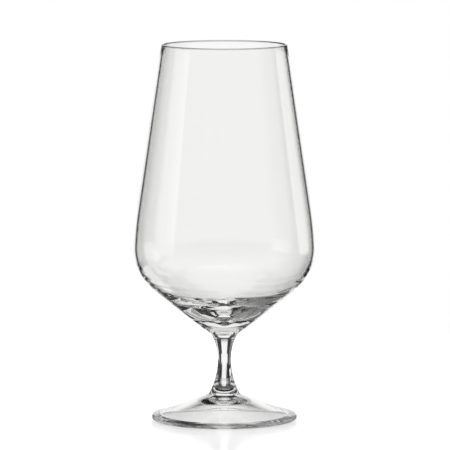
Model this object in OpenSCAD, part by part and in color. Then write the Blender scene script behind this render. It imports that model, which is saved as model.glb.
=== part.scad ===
// Tulip beer glass: a thin blown bowl, a drawn stem and a spun foot, fused end to end.
// Millimetres, +Z up, origin at the centre of the ring that the foot stands on.

/* [Bowl] */
// Height of the bowl from its seat on the stem to the top of the lip
bowl_h = 143.7; // [110:0.1:180]
// Outer diameter at the lip
rim_d = 62.2; // [50:0.1:80]
// Outer diameter at the belly, where the bowl is widest
belly_d = 90; // [82:0.5:100]
// Height of the belly above the seat
belly_lift = 43; // [38:0.5:50]
// Radius of the belly's curve
belly_radius = 26; // [20:0.5:32]
// Radius of the long curve that eases the belly into the straight side
shoulder_radius = 190; // [120:5:300]
// Angle above level at which the belly's curve gives way to the shoulder
shoulder_start = 3; // [1:0.5:6]
// Radius of the nearly straight underside between the belly and the seat
under_radius = 700; // [400:20:1200]
// Diameter of the seat, where the bowl is fused to the stem
seat_d = 13; // [11:0.1:16]

/* [Glass thickness] */
// Wall at the lip, which is melted to a full round
lip_wall = 1.2; // [0.8:0.1:2]
// Wall at the belly
belly_wall = 1.5; // [1:0.1:2.5]
// Solid glass between the bottom of the bowl and the seat
base_depth = 9; // [7:0.1:11]
// Radius of the rounded bottom inside the bowl
well_radius = 6; // [5:0.5:8]
// Radius of the long curve of the floor inside the bowl, between the belly and the bottom
floor_radius = 100; // [90:5:200]

/* [Stem] */
// Length of the stem between the foot and the bowl
stem_l = 29.7; // [26:0.1:60]
// Diameter of the stem at its waist
waist_d = 6.5; // [5:0.1:9]
// Height of the waist above the foot
waist_lift = 17; // [12:0.5:22]

/* [Foot] */
// Diameter of the foot at its edge
foot_d = 72.1; // [64:0.1:84]
// Diameter of the hub on which the stem is fused
hub_d = 15.4; // [12:0.1:20]
// Diameter at which the steep flank turns into the flatter brim
brim_d = 50.8; // [42:0.1:58]
// Slope of the flank, next to the hub
flank_slope = 22.2; // [18:0.2:28]
// Slope of the brim, next to the edge
brim_slope = 15.4; // [10:0.2:17]
// Radius of the sweep between flank and brim
sweep_radius = 86; // [40:2:120]
// Height of the widest point of the edge
edge_h = 1.6; // [1:0.1:2.4]
// Radius of the edge above its widest point
edge_radius = 1.7; // [1:0.1:2.5]
// How far the edge is rounded in below its widest point
edge_tuck = 3; // [1.5:0.1:4]
// Width of the flat ring on which the glass stands
rest_w = 2; // [1:0.1:4]
// Slope of the hollow under the foot, next to the ring
hollow_slope = 20; // [15:0.1:24]
// Radius of the hollow's rounded crown
crown_radius = 42; // [20:1:60]

/* [Hidden] */
$fn = 96;
// Turn covered by one straight step of a profile's arc, and the fewest steps in an arc
arc_turn = 5;
arc_steps = 4;

// Profiles lie in the plane of radius and height
rim_r = rim_d / 2;
seat_r = seat_d / 2;
waist_r = waist_d / 2;
foot_r = foot_d / 2;
hub_r = hub_d / 2;
brim_r = brim_d / 2;
lip_r = lip_wall / 2;

// Circles of the bowl's profile, with heights above the seat
belly_centre = [belly_d / 2 - belly_radius, belly_lift];
shoulder_centre = belly_centre - polar(shoulder_radius - belly_radius, shoulder_start);
lip_centre = [rim_r - lip_r, bowl_h - lip_r];
seat_edge = [seat_r, 0];
under_centre = circles_meet(belly_centre, under_radius - belly_radius, seat_edge, under_radius);
well_centre = [0, base_depth + well_radius];
inner_belly_radius = belly_radius - belly_wall;
inner_shoulder_radius = shoulder_radius - belly_wall;
floor_centre = circles_meet(
    belly_centre, floor_radius - inner_belly_radius, well_centre, floor_radius - well_radius);

// Directions square to the bowl's profile where its stretches meet
side_angle = touch_angle(lip_centre, lip_r, shoulder_centre, shoulder_radius);
inner_side_angle = touch_angle(lip_centre, -lip_r, shoulder_centre, inner_shoulder_radius);
floor_start = heading(belly_centre - floor_centre);
floor_end = heading(well_centre - floor_centre);
under_angle = heading(belly_centre - under_centre);

// Circles and corners of the foot's profile
edge_centre = [foot_r - edge_radius, edge_h];
brim_end = edge_centre + polar(edge_radius, 90 - brim_slope);
brim_start = [brim_r, brim_end[1] + (brim_end[0] - brim_r) * tan(brim_slope)];
foot_h = brim_start[1] + (brim_r - hub_r) * tan(flank_slope);
sweep_reach = sweep_radius * tan((flank_slope - brim_slope) / 2);
sweep_centre = brim_start + polar(sweep_reach, -brim_slope) + polar(sweep_radius, 90 - brim_slope);
rest_outer_r = foot_r - edge_tuck;
rest_inner_r = rest_outer_r - rest_w;
hollow_h = rest_inner_r * tan(hollow_slope) - crown_radius * (1 / cos(hollow_slope) - 1);

// Heights above the table of the bowl's seat and the stem's waist
seat_z = foot_h + stem_l;
waist_z = foot_h + waist_lift;

// Radii of the stem's curves below and above the waist
neck_rise = stem_l - waist_lift;
root_radius = sag_radius(hub_r - waist_r, waist_lift);
neck_radius = sag_radius(seat_r - waist_r, neck_rise);

// Vector of a given length and direction
function polar(length, angle) = length * [cos(angle), sin(angle)];

// Direction of a vector
function heading(v) = atan2(v[1], v[0]);

// Points along an arc, ends included
function arc(centre, radius, from, to) =
    let (steps = max(arc_steps, ceil(abs(to - from) / arc_turn)))
    [for (i = [0 : steps]) centre + polar(radius, from + (to - from) * i / steps)];

// Direction square to the line that touches two circles on their outer side.
// A circle with a negative radius lies on the other side of the line.
function touch_angle(c1, r1, c2, r2) =
    heading(c1 - c2) - acos((r2 - r1) / norm(c1 - c2));

// Point at given distances from two others, on the right of the way from the first to the second
function circles_meet(c1, r1, c2, r2) =
    let (apart = norm(c2 - c1))
    let (along = (apart ^ 2 + r1 ^ 2 - r2 ^ 2) / (2 * apart))
    let (aside = sqrt(r1 ^ 2 - along ^ 2))
    c1 + polar(along, heading(c2 - c1)) + polar(aside, heading(c2 - c1) - 90);

// Radius of an arc that departs by the given sag over the given run
function sag_radius(sag, run) = (sag ^ 2 + run ^ 2) / (2 * sag);

// Outside of the bowl, from the seat up to the lip
function bowl_outside() = concat(
    arc(under_centre, under_radius, heading(seat_edge - under_centre), under_angle),
    arc(belly_centre, belly_radius, under_angle, shoulder_start),
    arc(shoulder_centre, shoulder_radius, shoulder_start, side_angle));

// Inside of the bowl, from the lip down to its bottom
function bowl_inside() = concat(
    arc(shoulder_centre, inner_shoulder_radius, inner_side_angle, shoulder_start),
    arc(belly_centre, inner_belly_radius, shoulder_start, floor_start),
    arc(floor_centre, floor_radius, floor_start, floor_end),
    arc(well_centre, well_radius, floor_end, -90));

// Outside of the stem, from the foot up to the bowl: two hollow curves that meet upright at the waist
function stem_outside() = concat(
    arc([waist_r + root_radius, waist_z], root_radius, 180 + asin(waist_lift / root_radius), 180),
    arc([waist_r + neck_radius, waist_z], neck_radius, 180, 180 - asin(neck_rise / neck_radius)));

// Lower edge of the foot, rounded in from its widest point to the ring on which it stands
function foot_tuck() =
    [for (p = arc([0, 0], 1, -90, 0)) [rest_outer_r + edge_tuck * p[0], edge_h * (1 + p[1])]];

// Blown bowl with a full round lip
module bowl() {
    color("aliceblue", 0.5)
    translate([0, 0, seat_z])
    rotate_extrude()
    polygon(concat(
        [[0, 0]],
        bowl_outside(),
        arc(lip_centre, lip_r, side_angle, 180 + inner_side_angle),
        bowl_inside()));
}

// Drawn stem with a waist
module stem() {
    color("azure", 0.5)
    rotate_extrude()
    polygon(concat([[0, seat_z], [0, foot_h]], stem_outside()));
}

// Spun foot, hollow underneath
module foot() {
    color("lightcyan", 0.5)
    rotate_extrude()
    polygon(concat(
        [[0, foot_h]],
        arc([0, hollow_h - crown_radius], crown_radius, 90, 90 - hollow_slope),
        [[rest_inner_r, 0]],
        foot_tuck(),
        arc(edge_centre, edge_radius, 0, 90 - brim_slope),
        arc(sweep_centre, sweep_radius, -90 - brim_slope, -90 - flank_slope),
        [[hub_r, foot_h]]));
}

bowl();
stem();
foot();
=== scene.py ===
"""Looks of a stemmed tulip beer glass: a blown bowl, a drawn stem and a spun foot, all in clear glass.

Metres, +Z up, origin at the centre of the ring that the foot stands on.
"""

import logging
import math
from dataclasses import dataclass
from enum import Enum
from functools import cached_property

import bmesh
import bpy
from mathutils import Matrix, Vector, noise


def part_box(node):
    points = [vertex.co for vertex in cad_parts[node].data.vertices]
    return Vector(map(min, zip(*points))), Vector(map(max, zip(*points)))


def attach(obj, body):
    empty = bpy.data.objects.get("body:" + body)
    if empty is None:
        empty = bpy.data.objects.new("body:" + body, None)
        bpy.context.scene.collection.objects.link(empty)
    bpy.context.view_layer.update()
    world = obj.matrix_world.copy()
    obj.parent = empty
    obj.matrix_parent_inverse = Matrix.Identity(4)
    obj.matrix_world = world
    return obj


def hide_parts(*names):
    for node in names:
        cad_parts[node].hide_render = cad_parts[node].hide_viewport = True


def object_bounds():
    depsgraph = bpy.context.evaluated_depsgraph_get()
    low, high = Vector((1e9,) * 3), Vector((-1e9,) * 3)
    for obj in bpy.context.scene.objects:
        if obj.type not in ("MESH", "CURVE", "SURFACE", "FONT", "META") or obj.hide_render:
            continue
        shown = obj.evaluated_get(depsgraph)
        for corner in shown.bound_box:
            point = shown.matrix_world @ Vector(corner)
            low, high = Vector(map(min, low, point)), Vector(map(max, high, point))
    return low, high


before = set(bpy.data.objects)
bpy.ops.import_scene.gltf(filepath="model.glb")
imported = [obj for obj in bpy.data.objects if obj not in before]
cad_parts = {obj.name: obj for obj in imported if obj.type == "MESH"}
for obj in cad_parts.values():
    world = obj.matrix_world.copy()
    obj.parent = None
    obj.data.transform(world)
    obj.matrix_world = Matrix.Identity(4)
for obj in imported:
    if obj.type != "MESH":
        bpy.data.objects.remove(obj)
CAD_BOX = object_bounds()

LOG = logging.getLogger("tulip_glass")
BODY = "root"
MM = 0.001
# Two points of a profile that are nearer than this are one point
MERGE_DISTANCE = 1e-7
# Steps round the axis of every turned piece
SEGMENTS = 240
# Phase that a wave texture of scale 1 turns through over one unit
WAVE_RATE = 20
# Height of the lip that is tinted darker, as painted shade for the dark line along the rim
PAINTED_LIP_SHADE = 0.9 * MM

Socket = bpy.types.NodeSocket
Colour = tuple[float, float, float]
Paint = tuple[float, float, float, float]


def polar(length: float, degrees: float) -> Vector:
    """Gives a vector of the profile's plane.

    Args:
        length: Length of the vector.
        degrees: Its direction above the radius.

    Returns:
        The vector as radius and height.
    """
    angle = math.radians(degrees)
    return length * Vector((math.cos(angle), math.sin(angle)))


def heading(way: Vector) -> float:
    """Gives the direction of a vector in degrees above the radius."""
    return math.degrees(math.atan2(way.y, way.x))


def touch_angle(first: Vector, first_radius: float, second: Vector, second_radius: float) -> float:
    """Gives the direction square to the line that touches two circles on their outer side.

    Args:
        first: Centre of the first circle.
        first_radius: Its radius, negative where the circle lies on the other side of the line.
        second: Centre of the second circle.
        second_radius: Its radius.

    Returns:
        The direction in degrees.
    """
    apart = first - second
    return heading(apart) - math.degrees(math.acos((second_radius - first_radius) / apart.length))


def circles_meet(first: Vector, first_radius: float, second: Vector, second_radius: float) -> Vector:
    """Gives the point at set distances from two others, on the right of the way between them.

    Args:
        first: First point.
        first_radius: Distance from it.
        second: Second point.
        second_radius: Distance from that.

    Returns:
        The point.
    """
    way = second - first
    along = (way.length ** 2 + first_radius ** 2 - second_radius ** 2) / (2 * way.length)
    aside = math.sqrt(first_radius ** 2 - along ** 2)
    return first + polar(along, heading(way)) + polar(aside, heading(way) - 90)


def sag_radius(sag: float, run: float) -> float:
    """Gives the radius of an arc that departs by a sag over a run."""
    return (sag ** 2 + run ** 2) / (2 * sag)


def fade(value: float, start: float, end: float) -> float:
    """Rises smoothly from 0 at start to 1 at end.

    Args:
        value: Where the rise is read.
        start: Where it begins.
        end: Where it is complete.

    Returns:
        The rise between 0 and 1.
    """
    share = min(max((value - start) / (end - start), 0), 1)
    return share * share * (3 - 2 * share)


class Turning:
    """A profile drawn with a pen in the plane of radius and height, then turned about the axis."""

    def __init__(self, start: Vector) -> None:
        """Sets the pen down at a point of radius and height."""
        self.mesh = bmesh.new()
        self.pen = self.mesh.verts.new(self.upright(start))

    @staticmethod
    def upright(point: Vector) -> Vector:
        """Places a point of radius and height in space."""
        return Vector((point.x, 0, point.y))

    def line(self, end: Vector, steps: int = 1) -> None:
        """Draws a straight stretch.

        Args:
            end: Where it ends, as radius and height.
            steps: Equal steps on the way.
        """
        stride = (self.upright(end) - self.pen.co) / steps
        for _ in range(steps):
            self.pen = bmesh.ops.extrude_vert_indiv(self.mesh, verts=[self.pen])["verts"][0]
            bmesh.ops.translate(self.mesh, verts=[self.pen], vec=stride)

    def arc(self, centre: Vector, start: float, end: float, steps: int) -> None:
        """Draws a round stretch that begins where the pen is.

        Args:
            centre: Centre of the arc, as radius and height.
            start: Direction from the centre to the pen, in degrees.
            end: Direction from the centre to the end of the arc.
            steps: Equal steps on the way.
        """
        made = bmesh.ops.spin(
            self.mesh, geom=[self.pen], cent=self.upright(centre), axis=(0, -1, 0),
            angle=math.radians(end - start), steps=steps)
        self.pen = next(part for part in made["geom_last"] if isinstance(part, bmesh.types.BMVert))

    def turn(self) -> bmesh.types.BMesh:
        """Turns the profile round the axis into a closed solid.

        Returns:
            The solid, with its faces pointing outwards.
        """
        solid = self.mesh
        bmesh.ops.remove_doubles(solid, verts=solid.verts, dist=MERGE_DISTANCE)
        bmesh.ops.spin(
            solid, geom=solid.verts[:] + solid.edges[:], cent=(0, 0, 0), axis=(0, 0, 1),
            angle=math.tau, steps=SEGMENTS, use_merge=True)
        bmesh.ops.remove_doubles(solid, verts=solid.verts, dist=MERGE_DISTANCE)
        bmesh.ops.recalc_face_normals(solid, faces=solid.faces)
        solid.normal_update()
        return solid


class NodeBench:
    """Lays out shader nodes and joins them."""

    def __init__(self, tree: bpy.types.NodeTree) -> None:
        """Starts from an empty tree."""
        tree.nodes.clear()
        self.tree = tree

    def add(self, kind: str, **settings: object) -> bpy.types.Node:
        """Adds a node.

        Args:
            kind: Class of the node.
            settings: Its properties.

        Returns:
            The node.
        """
        node = self.tree.nodes.new(kind)
        for name, value in settings.items():
            setattr(node, name, value)
        return node

    def put(self, value: object, socket: Socket) -> None:
        """Links a socket to an input, or sets the input's value.

        Args:
            value: The socket or the value.
            socket: The input.
        """
        if isinstance(value, Socket):
            self.tree.links.new(value, socket)
        else:
            socket.default_value = value

    def feed(self, node: bpy.types.Node, **inputs: object) -> None:
        """Fills a node's inputs.

        Args:
            node: The node.
            inputs: A socket or a value by the input's name, with underscores for spaces.
        """
        for name, value in inputs.items():
            self.put(value, node.inputs[name.replace("_", " ")])

    def maths(self, operation: str, *values: Socket | float) -> Socket:
        """Works out one sum.

        Args:
            operation: Name of the operation.
            values: The values that it takes.

        Returns:
            The result.
        """
        node = self.add("ShaderNodeMath", operation=operation)
        for socket, value in zip(node.inputs, values):
            self.put(value, socket)
        return node.outputs[0]

    def ramp(self, value: Socket, start: float, end: float, low: float = 0.0, high: float = 1.0) -> Socket:
        """Rises smoothly between two values.

        Args:
            value: What is read.
            start: Where the rise begins.
            end: Where it is complete.
            low: Result before the rise.
            high: Result after it.

        Returns:
            The result.
        """
        node = self.add("ShaderNodeMapRange", interpolation_type="SMOOTHSTEP")
        self.feed(node, Value=value, From_Min=start, From_Max=end, To_Min=low, To_Max=high)
        return node.outputs["Result"]

    def blend(self, share: Socket, first: Socket | float, second: Socket | float) -> Socket:
        """Goes from a first value at a share of 0 to a second at 1.

        Args:
            share: The share of the second.
            first: First value.
            second: Second value.

        Returns:
            The result.
        """
        rest = self.maths("SUBTRACT", 1.0, share)
        return self.maths("ADD", self.maths("MULTIPLY", rest, first), self.maths("MULTIPLY", share, second))

    def mix(self, share: Socket, first: Socket | Paint, second: Socket | Paint) -> Socket:
        """Goes from a first colour at a share of 0 to a second at 1.

        Args:
            share: The share of the second.
            first: First colour.
            second: Second colour.

        Returns:
            The result.
        """
        node = self.add("ShaderNodeMix", data_type="RGBA")
        colours = [socket for socket in node.inputs if socket.type == "RGBA"]
        self.put(share, node.inputs["Factor"])
        for socket, value in zip(colours, (first, second)):
            self.put(value, socket)
        return next(socket for socket in node.outputs if socket.type == "RGBA")


class Working(Enum):
    """How a piece of hot glass was worked, which sets the lie of its faint marks."""

    BLOWN = "blown"
    DRAWN = "drawn"
    SPUN = "spun"


@dataclass(frozen=True)
class GlassFinish:
    """Clear fire-polished glass with the faint marks of its working.

    Attributes:
        name: Name of the material.
        working: How the glass was worked.
        clear: Tint where the glass is clearest.
        deep: Tint where it is deepest.
        mark_size: Size of the marks in metres.
        mark_depth: Depth of the marks in metres.
        polish: Roughness where the polish is best and where it is poorest.
        polish_marks: Values of the marks' pattern between which the polish goes from best to poorest.
        ior: Index of refraction.
        edge: Tint of painted shade on the top of the lip, darker than the glass, for the dark line along the
            rim.
        painted_shade_start: Height at which that painted shade begins, if the piece has one.
        painted_shade_blur: Height over which the painted shade sets in.
    """

    name: str
    working: Working
    clear: Colour = (1.0, 1.0, 0.994)
    deep: Colour = (0.995, 0.996, 0.988)
    mark_size: float = 9 * MM
    mark_depth: float = 0.0015 * MM
    polish: tuple[float, float] = (0.0, 0.006)
    polish_marks: tuple[float, float] = (0.3, 0.8)
    ior: float = 1.52
    # Painted shade: the darker tint of the lip for the dark line along the rim
    edge: Colour = (0.6, 0.61, 0.6)
    painted_shade_start: float = math.inf
    painted_shade_blur: float = 0.3 * MM

    def marks(self, bench: NodeBench) -> Socket:
        """Lays the pattern of the marks on the piece's own coordinates.

        Args:
            bench: Where the nodes go.

        Returns:
            The pattern between 0 and 1.
        """
        place = bench.add("ShaderNodeTexCoord").outputs["Object"]
        if self.working is Working.SPUN:
            rings = bench.add("ShaderNodeTexWave", wave_type="RINGS", rings_direction="Z")
            scale = 1 / (WAVE_RATE * self.mark_size)
            bench.feed(rings, Vector=place, Scale=scale, Distortion=1.5, Detail=2.0)
            return rings.outputs["Fac"]
        # Drawing pulls the marks far up the piece, and blowing only a little
        stretch = (1.0, 1.0, 0.06) if self.working is Working.DRAWN else (1.0, 1.0, 0.6)
        mapping = bench.add("ShaderNodeMapping")
        bench.feed(mapping, Vector=place, Scale=stretch)
        cloud = bench.add("ShaderNodeTexNoise")
        bench.feed(cloud, Vector=mapping.outputs["Vector"], Scale=1 / self.mark_size, Detail=3.0)
        return cloud.outputs["Fac"]

    def tint(self, bench: NodeBench, marks: Socket) -> Socket:
        """Tints the glass by its marks, and paints shade on the top of the lip as a darker tint.

        Args:
            bench: Where the nodes go.
            marks: The pattern of the marks.

        Returns:
            The tint.
        """
        tint = bench.mix(marks, (*self.clear, 1), (*self.deep, 1))
        if math.isinf(self.painted_shade_start):
            return tint
        # Painted shade: from this height up the lip's glass is tinted darker
        place = bench.add("ShaderNodeSeparateXYZ")
        bench.feed(place, Vector=bench.add("ShaderNodeTexCoord").outputs["Object"])
        share = bench.ramp(place.outputs["Z"], self.painted_shade_start, self.painted_shade_start + self.painted_shade_blur)
        return bench.mix(share, tint, (*self.edge, 1))

    def material(self) -> bpy.types.Material:
        """Makes the glass.

        Returns:
            The material.
        """
        material = bpy.data.materials.new(self.name)
        material.use_nodes = True
        bench = NodeBench(material.node_tree)
        marks = self.marks(bench)
        bump = bench.add("ShaderNodeBump")
        bench.feed(bump, Height=marks, Strength=1.0, Distance=self.mark_depth)
        glass = bench.add("ShaderNodeBsdfPrincipled")
        bench.feed(
            glass, Base_Color=self.tint(bench, marks),
            Roughness=bench.ramp(marks, *self.polish_marks, *self.polish),
            Normal=bump.outputs["Normal"], IOR=self.ior, Transmission_Weight=1.0)
        output = bench.add("ShaderNodeOutputMaterial")
        bench.feed(output, Surface=glass.outputs["BSDF"])
        return material


@dataclass(frozen=True)
class FusedSeam:
    """The faces where two pieces are melted into one, which light crosses as if they weren't there."""

    name: str = "fused_seam"

    def material(self) -> bpy.types.Material:
        """Makes the unseen face.

        Returns:
            The material.
        """
        material = bpy.data.materials.get(self.name) or bpy.data.materials.new(self.name)
        material.use_nodes = True
        bench = NodeBench(material.node_tree)
        clear = bench.add("ShaderNodeBsdfTransparent")
        output = bench.add("ShaderNodeOutputMaterial")
        bench.feed(output, Surface=clear.outputs["BSDF"])
        return material


@dataclass
class GlassPiece:
    """A turned piece of the glass that stands for its CAD node.

    Attributes:
        node: Name of the CAD node.
        slot: Material slot of the record; not used.
        finish: Finish of the glass.
    """

    node: str
    slot: str
    finish: GlassFinish

    @cached_property
    def base_z(self) -> float:
        """Height of the underside of the node."""
        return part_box(self.node)[0][2]

    @cached_property
    def top_z(self) -> float:
        """Height of the top of the node."""
        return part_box(self.node)[1][2]

    @cached_property
    def reach(self) -> float:
        """Largest radius of the node."""
        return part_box(self.node)[1][0]

    def seams(self) -> list[float]:
        """Gives the heights of the flat faces that are fused to a neighbour."""
        raise NotImplementedError

    def shape(self) -> bmesh.types.BMesh:
        """Makes the piece's solid."""
        raise NotImplementedError

    def dress(self, piece: bpy.types.Object) -> None:
        """Gives the piece its glass, and its fused faces their own clear crossing.

        Args:
            piece: The piece.
        """
        piece.data.materials.append(self.finish.material())
        piece.data.materials.append(FusedSeam().material())

    def mark_seams(self, solid: bmesh.types.BMesh) -> None:
        """Shades the solid smooth, and marks its fused faces flat with a sharp rim.

        Args:
            solid: The piece's solid.
        """
        seams = self.seams()
        for face in solid.faces:
            height = face.calc_center_median().z
            fused = any(abs(height - seam) < MERGE_DISTANCE for seam in seams)
            face.smooth = not fused
            face.material_index = int(fused)
            for edge in face.edges:
                edge.smooth = edge.smooth and not fused

    def build(self) -> bpy.types.Object:
        """Makes the piece, dresses it and joins it to the frame.

        Returns:
            The piece.
        """
        solid = self.shape()
        self.mark_seams(solid)
        mesh = bpy.data.meshes.new(f"{self.node}_glass")
        solid.to_mesh(mesh)
        solid.free()
        piece = bpy.data.objects.new(f"{self.node}_glass", mesh)
        bpy.context.scene.collection.objects.link(piece)
        self.dress(piece)
        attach(piece, BODY)
        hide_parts(self.node)
        height = (self.top_z - self.base_z) / MM
        LOG.info("%s: %d faces, height %.1f mm", piece.name, len(mesh.polygons), height)
        return piece


@dataclass
class Bowl(GlassPiece):
    """Blown bowl with a full round lip and a wall that thickens into its bottom."""

    rim_r: float = 31.1 * MM
    belly_lift: float = 43 * MM
    belly_radius: float = 26 * MM
    shoulder_radius: float = 190 * MM
    shoulder_start: float = 3.0
    under_radius: float = 700 * MM
    seat_r: float = 6.5 * MM
    lip_wall: float = 1.2 * MM
    belly_wall: float = 1.5 * MM
    base_depth: float = 9 * MM
    well_radius: float = 6 * MM
    floor_radius: float = 100 * MM
    # Wrinkles that the mould left inside the bottom: length down the wall, waves round it and depth,
    # and the radii and the drops below the belly between which they set in
    wrinkle_pitch: float = 2.8 * MM
    wrinkle_waves: float = 2.0
    wrinkle_depth: float = 0.11 * MM
    wrinkle_radii: tuple[float, float] = (3 * MM, 9 * MM)
    wrinkle_drops: tuple[float, float] = (5 * MM, 14 * MM)

    def seams(self) -> list[float]:
        """Gives the height of the seat on the stem."""
        return [self.base_z]

    def shape(self) -> bmesh.types.BMesh:
        """Draws the outside from the seat up, rounds the lip and draws the inside down to the bottom.

        Returns:
            The bowl's solid.
        """
        base = self.base_z
        belly = Vector((self.reach - self.belly_radius, base + self.belly_lift))
        shoulder = belly - polar(self.shoulder_radius - self.belly_radius, self.shoulder_start)
        lip_r = self.lip_wall / 2
        lip = Vector((self.rim_r - lip_r, self.top_z - lip_r))
        seat = Vector((self.seat_r, base))
        under = circles_meet(belly, self.under_radius - self.belly_radius, seat, self.under_radius)
        inner_belly = self.belly_radius - self.belly_wall
        inner_shoulder = self.shoulder_radius - self.belly_wall
        well = Vector((0, base + self.base_depth + self.well_radius))
        floor = circles_meet(
            belly, self.floor_radius - inner_belly, well, self.floor_radius - self.well_radius)
        side = touch_angle(lip, lip_r, shoulder, self.shoulder_radius)
        inner_side = touch_angle(lip, -lip_r, shoulder, inner_shoulder)
        under_end = heading(belly - under)
        floor_start = heading(belly - floor)
        floor_end = heading(well - floor)

        profile = Turning(Vector((0, base)))
        profile.line(seat, steps=3)
        profile.arc(under, heading(seat - under), under_end, steps=16)
        profile.arc(belly, under_end, self.shoulder_start, steps=30)
        profile.arc(shoulder, self.shoulder_start, side, steps=18)
        profile.line(lip + polar(lip_r, side), steps=14)
        profile.arc(lip, side, 180 + inner_side, steps=12)
        profile.line(shoulder + polar(inner_shoulder, inner_side), steps=14)
        profile.arc(shoulder, inner_side, self.shoulder_start, steps=18)
        profile.arc(belly, self.shoulder_start, floor_start, steps=40)
        profile.arc(floor, floor_start, floor_end, steps=110)
        profile.arc(well, floor_end, -90, steps=14)
        solid = profile.turn()
        self.wrinkle(solid)
        return solid

    def wrinkle(self, solid: bmesh.types.BMesh) -> None:
        """Presses faint level wrinkles into the inside of the bottom.

        Args:
            solid: The bowl's solid.
        """
        belly_z = self.base_z + self.belly_lift
        lowest_z = self.base_z + self.base_depth / 2
        inside = [v for v in solid.verts if v.normal.z > 0 and lowest_z < v.co.z < belly_z]
        shifts = []
        for vertex in inside:
            across = Vector((vertex.co.x, vertex.co.y))
            drop = belly_z - vertex.co.z
            strength = fade(across.length, *self.wrinkle_radii) * fade(drop, *self.wrinkle_drops)
            round_axis = across.normalized() * self.wrinkle_waves
            down_wall = Vector((across.length, vertex.co.z)).length / self.wrinkle_pitch
            wave = noise.noise(Vector((round_axis.x, round_axis.y, down_wall)))
            shifts.append(vertex.normal * (wave * strength * self.wrinkle_depth))
        for vertex, shift in zip(inside, shifts):
            vertex.co += shift


@dataclass
class Stem(GlassPiece):
    """Drawn stem with a waist."""

    waist_r: float = 3.25 * MM
    waist_lift: float = 17 * MM
    seat_r: float = 6.5 * MM

    def seams(self) -> list[float]:
        """Gives the heights of the foot's hub and the bowl's seat."""
        return [self.base_z, self.top_z]

    def shape(self) -> bmesh.types.BMesh:
        """Draws two hollow curves that meet upright at the waist.

        Returns:
            The stem's solid.
        """
        waist_z = self.base_z + self.waist_lift
        neck_rise = self.top_z - waist_z
        root_radius = sag_radius(self.reach - self.waist_r, self.waist_lift)
        neck_radius = sag_radius(self.seat_r - self.waist_r, neck_rise)
        root_turn = math.degrees(math.asin(self.waist_lift / root_radius))
        neck_turn = math.degrees(math.asin(neck_rise / neck_radius))
        profile = Turning(Vector((0, self.base_z)))
        profile.line(Vector((self.reach, self.base_z)), steps=3)
        profile.arc(Vector((self.waist_r + root_radius, waist_z)), 180 + root_turn, 180, steps=40)
        profile.arc(Vector((self.waist_r + neck_radius, waist_z)), 180, 180 - neck_turn, steps=32)
        profile.line(Vector((0, self.top_z)), steps=3)
        return profile.turn()


@dataclass
class Foot(GlassPiece):
    """Spun foot, domed on top and hollow underneath, with a flat ring that it stands on."""

    hub_r: float = 7.7 * MM
    brim_r: float = 25.4 * MM
    flank_slope: float = 22.2
    brim_slope: float = 15.4
    sweep_radius: float = 86 * MM
    edge_h: float = 1.6 * MM
    edge_radius: float = 1.7 * MM
    edge_tuck: float = 3 * MM
    rest_w: float = 2 * MM
    hollow_slope: float = 20.0
    crown_radius: float = 42 * MM
    # Degrees turned by each straight step under the edge
    tuck_turn: int = 10

    def seams(self) -> list[float]:
        """Gives the height of the hub under the stem."""
        return [self.top_z]

    def shape(self) -> bmesh.types.BMesh:
        """Draws the hollow, the resting ring, the round edge and the sweep up to the hub.

        Returns:
            The foot's solid.
        """
        edge = Vector((self.reach - self.edge_radius, self.edge_h))
        brim_end = edge + polar(self.edge_radius, 90 - self.brim_slope)
        brim_rise = (brim_end.x - self.brim_r) * math.tan(math.radians(self.brim_slope))
        sweep_reach = self.sweep_radius * math.tan(math.radians(self.flank_slope - self.brim_slope) / 2)
        brim_start = Vector((self.brim_r, brim_end.y + brim_rise)) + polar(sweep_reach, -self.brim_slope)
        sweep = brim_start + polar(self.sweep_radius, 90 - self.brim_slope)
        rest_outer = self.reach - self.edge_tuck
        rest_inner = rest_outer - self.rest_w
        slope = math.radians(self.hollow_slope)
        hollow_h = rest_inner * math.tan(slope) - self.crown_radius * (1 / math.cos(slope) - 1)

        profile = Turning(Vector((0, hollow_h)))
        profile.arc(Vector((0, hollow_h - self.crown_radius)), 90, 90 - self.hollow_slope, steps=24)
        profile.line(Vector((rest_inner, 0)), steps=20)
        profile.line(Vector((rest_outer, 0)), steps=3)
        for turn in range(self.tuck_turn - 90, 1, self.tuck_turn):
            tuck = polar(1, turn)
            profile.line(Vector((rest_outer + self.edge_tuck * tuck.x, self.edge_h * (1 + tuck.y))))
        profile.arc(edge, 0, 90 - self.brim_slope, steps=10)
        profile.line(brim_start, steps=6)
        profile.arc(sweep, -90 - self.brim_slope, -90 - self.flank_slope, steps=14)
        profile.line(Vector((self.hub_r, self.top_z)), steps=10)
        profile.line(Vector((0, self.top_z)), steps=3)
        return profile.turn()


@dataclass(frozen=True)
class Panel:
    """A lit panel of the studio's surround, measured in degrees.

    Attributes:
        start: Bearing at which the panel begins, counted from the camera's side round by the right.
        end: Bearing at which it ends.
        bottom: Elevation of its lower edge.
        top: Elevation of its upper edge.
        start_blur: Width over which its first edge fades.
        end_blur: Width over which its second edge fades.
        level_blur: Width over which its lower and upper edges fade.
        lean: How far its upright edges lean back for each degree of elevation.
        strength: Its brightness, where 1 is white.
    """

    start: float
    end: float
    bottom: float
    top: float
    start_blur: float = 4.0
    end_blur: float = 4.0
    level_blur: float = 6.0
    lean: float = 0.0
    strength: float = 1.0


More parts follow.
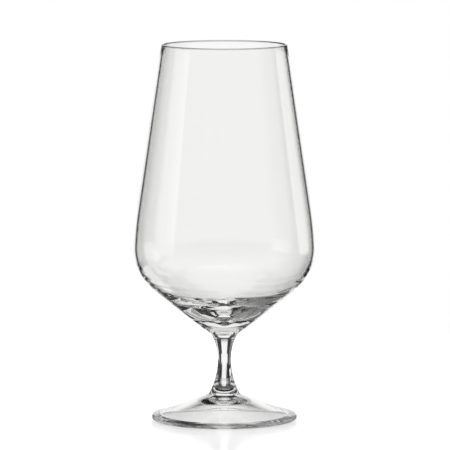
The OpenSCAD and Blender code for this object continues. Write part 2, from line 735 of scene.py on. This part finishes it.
# Three for the back, three for the right, three for the left, a low one behind on the left, two low in front
PANELS = (
    Panel(166, 194, -20, 22, level_blur=18.0, strength=0.97),
    Panel(160, 200, -11, 0, start_blur=8.0, end_blur=8.0, level_blur=4.0, strength=0.97),
    Panel(166, 189, -57, -9, start_blur=6.0, level_blur=4.0, strength=0.97),
    Panel(109, 134, -8, 20, start_blur=1.5, end_blur=8.0, lean=0.4),
    Panel(124, 138, -8, 44, start_blur=6.0, end_blur=5.0, strength=0.9),
    Panel(88, 118, 26, 50, start_blur=10.0, end_blur=10.0, level_blur=8.0, strength=0.6),
    Panel(258, 293, -9, 14, start_blur=20.0, end_blur=1.5),
    Panel(256, 284, -24, -5, start_blur=8.0, end_blur=8.0, level_blur=5.0, strength=0.5),
    Panel(214, 268, -14, 50, start_blur=12.0, end_blur=10.0, level_blur=8.0, strength=0.25),
    Panel(213, 239, -46, -19, level_blur=3.0),
    Panel(-10, 80, -34, 0, end_blur=30.0, level_blur=22.0, strength=0.8),
    Panel(280, 370, -34, 0, start_blur=30.0, level_blur=22.0, strength=0.8),
)


@dataclass(frozen=True)
class Studio:
    """Surround with a lit back, soft side panels, a lit ceiling and dark walls between them.

    Attributes:
        dark: Brightness of the unlit walls behind.
        front: Brightness of the room on the camera's side.
        front_spread: Bearings within which the front is seen, on either side of the camera.
        front_blur: Bearings over which it fades, on either side of that limit.
        ceiling: Brightness of the ceiling.
        ceiling_start: Elevation at which the ceiling begins.
        ceiling_blur: Height over which it sets in.
        panels: The lit panels.
    """

    dark: float = 0.015
    front: float = 0.1
    front_spread: float = 90.0
    front_blur: float = 30.0
    ceiling: float = 0.85
    ceiling_start: float = 56.0
    ceiling_blur: float = 8.0
    panels: tuple[Panel, ...] = PANELS

    @staticmethod
    def window(
            bench: NodeBench, value: Socket, start: float, end: float,
            start_blur: float, end_blur: float) -> Socket:
        """Is 1 between two values and fades out past them.

        Args:
            bench: Where the nodes go.
            value: What is read.
            start: Lower end.
            end: Upper end.
            start_blur: Width of the fade at the lower end.
            end_blur: Width of the fade at the upper end.

        Returns:
            The window between 0 and 1.
        """
        opens = bench.ramp(value, start - start_blur / 2, start + start_blur / 2)
        closes = bench.ramp(value, end - end_blur / 2, end + end_blur / 2, 1.0, 0.0)
        return bench.maths("MULTIPLY", opens, closes)

    def light(self, bench: NodeBench) -> Socket:
        """Works out the surround's brightness by direction.

        Args:
            bench: Where the nodes go.

        Returns:
            The brightness.
        """
        way = bench.add("ShaderNodeSeparateXYZ")
        bench.feed(way, Vector=bench.add("ShaderNodeTexCoord").outputs["Generated"])
        x, y, z = way.outputs
        side = bench.maths("DEGREES", bench.maths("ARCTAN2", x, bench.maths("MULTIPLY", y, -1.0)))
        bearing = bench.maths("MODULO", bench.maths("ADD", side, 360.0), 360.0)
        elevation = bench.maths("DEGREES", bench.maths("ARCSINE", z))
        level = bench.ramp(
            bench.maths("ABSOLUTE", side), self.front_spread - self.front_blur,
            self.front_spread + self.front_blur, self.front, self.dark)
        for panel in self.panels:
            leaning = bench.maths("MULTIPLY_ADD", elevation, panel.lean, bearing)
            across = self.window(bench, leaning, panel.start, panel.end, panel.start_blur, panel.end_blur)
            up = self.window(bench, elevation, panel.bottom, panel.top, panel.level_blur, panel.level_blur)
            shown = bench.maths("MULTIPLY", bench.maths("MULTIPLY", across, up), panel.strength)
            level = bench.maths("MAXIMUM", level, shown)
        reach = self.ceiling_blur / 2
        ceiling = bench.ramp(elevation, self.ceiling_start - reach, self.ceiling_start + reach)
        return bench.blend(ceiling, level, self.ceiling)

    def build(self) -> None:
        """Makes the world: plain white to the camera and the floor, and the lit studio to the glass."""
        world = bpy.data.worlds.new("studio")
        bpy.context.scene.world = world
        world.use_nodes = True
        bench = NodeBench(world.node_tree)
        path = bench.add("ShaderNodeLightPath").outputs
        plain = bench.maths("MAXIMUM", path["Is Camera Ray"], path["Is Diffuse Ray"])
        background = bench.add("ShaderNodeBackground")
        bench.feed(background, Color=(1, 1, 1, 1), Strength=bench.blend(plain, self.light(bench), 1.0))
        output = bench.add("ShaderNodeOutputWorld")
        bench.feed(output, Surface=background.outputs["Background"])
        LOG.info("studio: %d panels", len(self.panels))


@dataclass(frozen=True)
class Table:
    """Round white table with a soft sheen, on which the glass stands.

    Attributes:
        radius: Radius of the table.
        colour: Its paint.
        sheen: Strength of its reflection.
        polish: Roughness of its surface, where it is best and where it is poorest.
        grain: Size of the grain in its paint.
        grain_polish: Values of the grain's pattern between which the polish goes from best to poorest.
        lift: Glow towards the camera that makes up for what the paint takes from the light.
        rim_lift: The same at the rim, where the table melts into the white behind it.
        rim_start: Radius from which the glow rises to that.
        rim_end: Radius at which the rise is complete.
    """

    radius: float = 0.35
    colour: Colour = (0.6, 0.6, 0.6)
    sheen: float = 0.12
    polish: tuple[float, float] = (0.14, 0.18)
    grain: float = 3 * MM
    grain_polish: tuple[float, float] = (0.3, 0.7)
    lift: float = 0.47
    rim_lift: float = 1.0
    rim_start: float = 0.14
    rim_end: float = 0.3325

    def material(self) -> bpy.types.Material:
        """Makes the table's paint.

        Returns:
            The material.
        """
        material = bpy.data.materials.new("table_white")
        material.use_nodes = True
        bench = NodeBench(material.node_tree)
        place = bench.add("ShaderNodeTexCoord").outputs["Object"]
        cloud = bench.add("ShaderNodeTexNoise")
        bench.feed(cloud, Vector=place, Scale=1 / self.grain)
        reach = bench.add("ShaderNodeVectorMath", operation="LENGTH")
        bench.feed(reach, Vector=place)
        glow = bench.ramp(reach.outputs["Value"], self.rim_start, self.rim_end, self.lift, self.rim_lift)
        camera = bench.add("ShaderNodeLightPath").outputs["Is Camera Ray"]
        paint = bench.add("ShaderNodeBsdfPrincipled")
        bench.feed(
            paint, Base_Color=(*self.colour, 1), Specular_IOR_Level=self.sheen,
            Roughness=bench.ramp(cloud.outputs["Fac"], *self.grain_polish, *self.polish),
            Emission_Color=(1, 1, 1, 1), Emission_Strength=bench.maths("MULTIPLY", camera, glow))
        output = bench.add("ShaderNodeOutputMaterial")
        bench.feed(output, Surface=paint.outputs["BSDF"])
        return material

    def build(self) -> bpy.types.Object:
        """Makes the table, which only the camera and the light that falls on it meet.

        Returns:
            The table.
        """
        disc = bmesh.new()
        bmesh.ops.create_circle(disc, cap_ends=True, segments=96, radius=self.radius)
        mesh = bpy.data.meshes.new("table")
        disc.to_mesh(mesh)
        disc.free()
        mesh.materials.append(self.material())
        table = bpy.data.objects.new("table", mesh)
        bpy.context.scene.collection.objects.link(table)
        table.visible_transmission = False
        table.visible_glossy = False
        LOG.info("table: radius %.2f m", self.radius)
        return table


@dataclass(frozen=True)
class PhotoCamera:
    """Camera that sees the glass as the photograph does.

    Attributes:
        distance: Distance from the axis of the glass.
        height: Height above the table.
        pitch: Angle below level, in degrees.
        focal_px: Focal length in pixels.
        image_px: Width of the photograph in pixels.
        axis_px: Column of the photograph in which the axis of the glass stands.
        sensor: Width of the sensor in millimetres.
    """

    distance: float = 2.430
    height: float = 0.356
    pitch: float = 6.083
    focal_px: float = 4947.2
    image_px: float = 450.0
    axis_px: float = 224.4
    sensor: float = 36.0

    def build(self) -> bpy.types.Object:
        """Makes the camera and gives it the scene.

        Returns:
            The camera.
        """
        lens = bpy.data.cameras.new("photo_camera")
        lens.sensor_width = self.sensor
        lens.lens = self.focal_px * self.sensor / self.image_px
        lens.shift_x = (self.image_px / 2 - self.axis_px) / self.image_px
        camera = bpy.data.objects.new("photo_camera", lens)
        camera.location = (0, -self.distance, self.height)
        camera.rotation_euler = (math.radians(90 - self.pitch), 0, 0)
        bpy.context.scene.collection.objects.link(camera)
        bpy.context.scene.camera = camera
        LOG.info("camera: %.0f mm lens", lens.lens)
        return camera


def set_up_rendering() -> None:
    """Sets the plain view and lets light cross every wall of the glass."""
    scene = bpy.context.scene
    scene.view_settings.view_transform = "Standard"
    scene.cycles.max_bounces = 128
    scene.cycles.transmission_bounces = 64
    scene.cycles.glossy_bounces = 96
    scene.cycles.transparent_max_bounces = 64


def main() -> None:
    """Builds the camera, the studio and the pieces of the glass."""
    logging.basicConfig(level=logging.INFO, format="%(message)s")
    PhotoCamera().build()
    Studio().build()
    Table().build()
    # Painted shade on the lip begins this far below the top of the glass
    painted_shade_z = CAD_BOX[1][2] - PAINTED_LIP_SHADE
    pieces = (
        Bowl("bowl", "bowl_glass", GlassFinish("blown_glass", Working.BLOWN, painted_shade_start=painted_shade_z)),
        Stem("stem", "stem_glass", GlassFinish("drawn_glass", Working.DRAWN, mark_size=2.5 * MM)),
        Foot("foot", "foot_glass", GlassFinish("spun_glass", Working.SPUN, mark_size=4 * MM)),
    )
    for piece in pieces:
        piece.build()
    set_up_rendering()


if __name__ == "__main__":
    main()
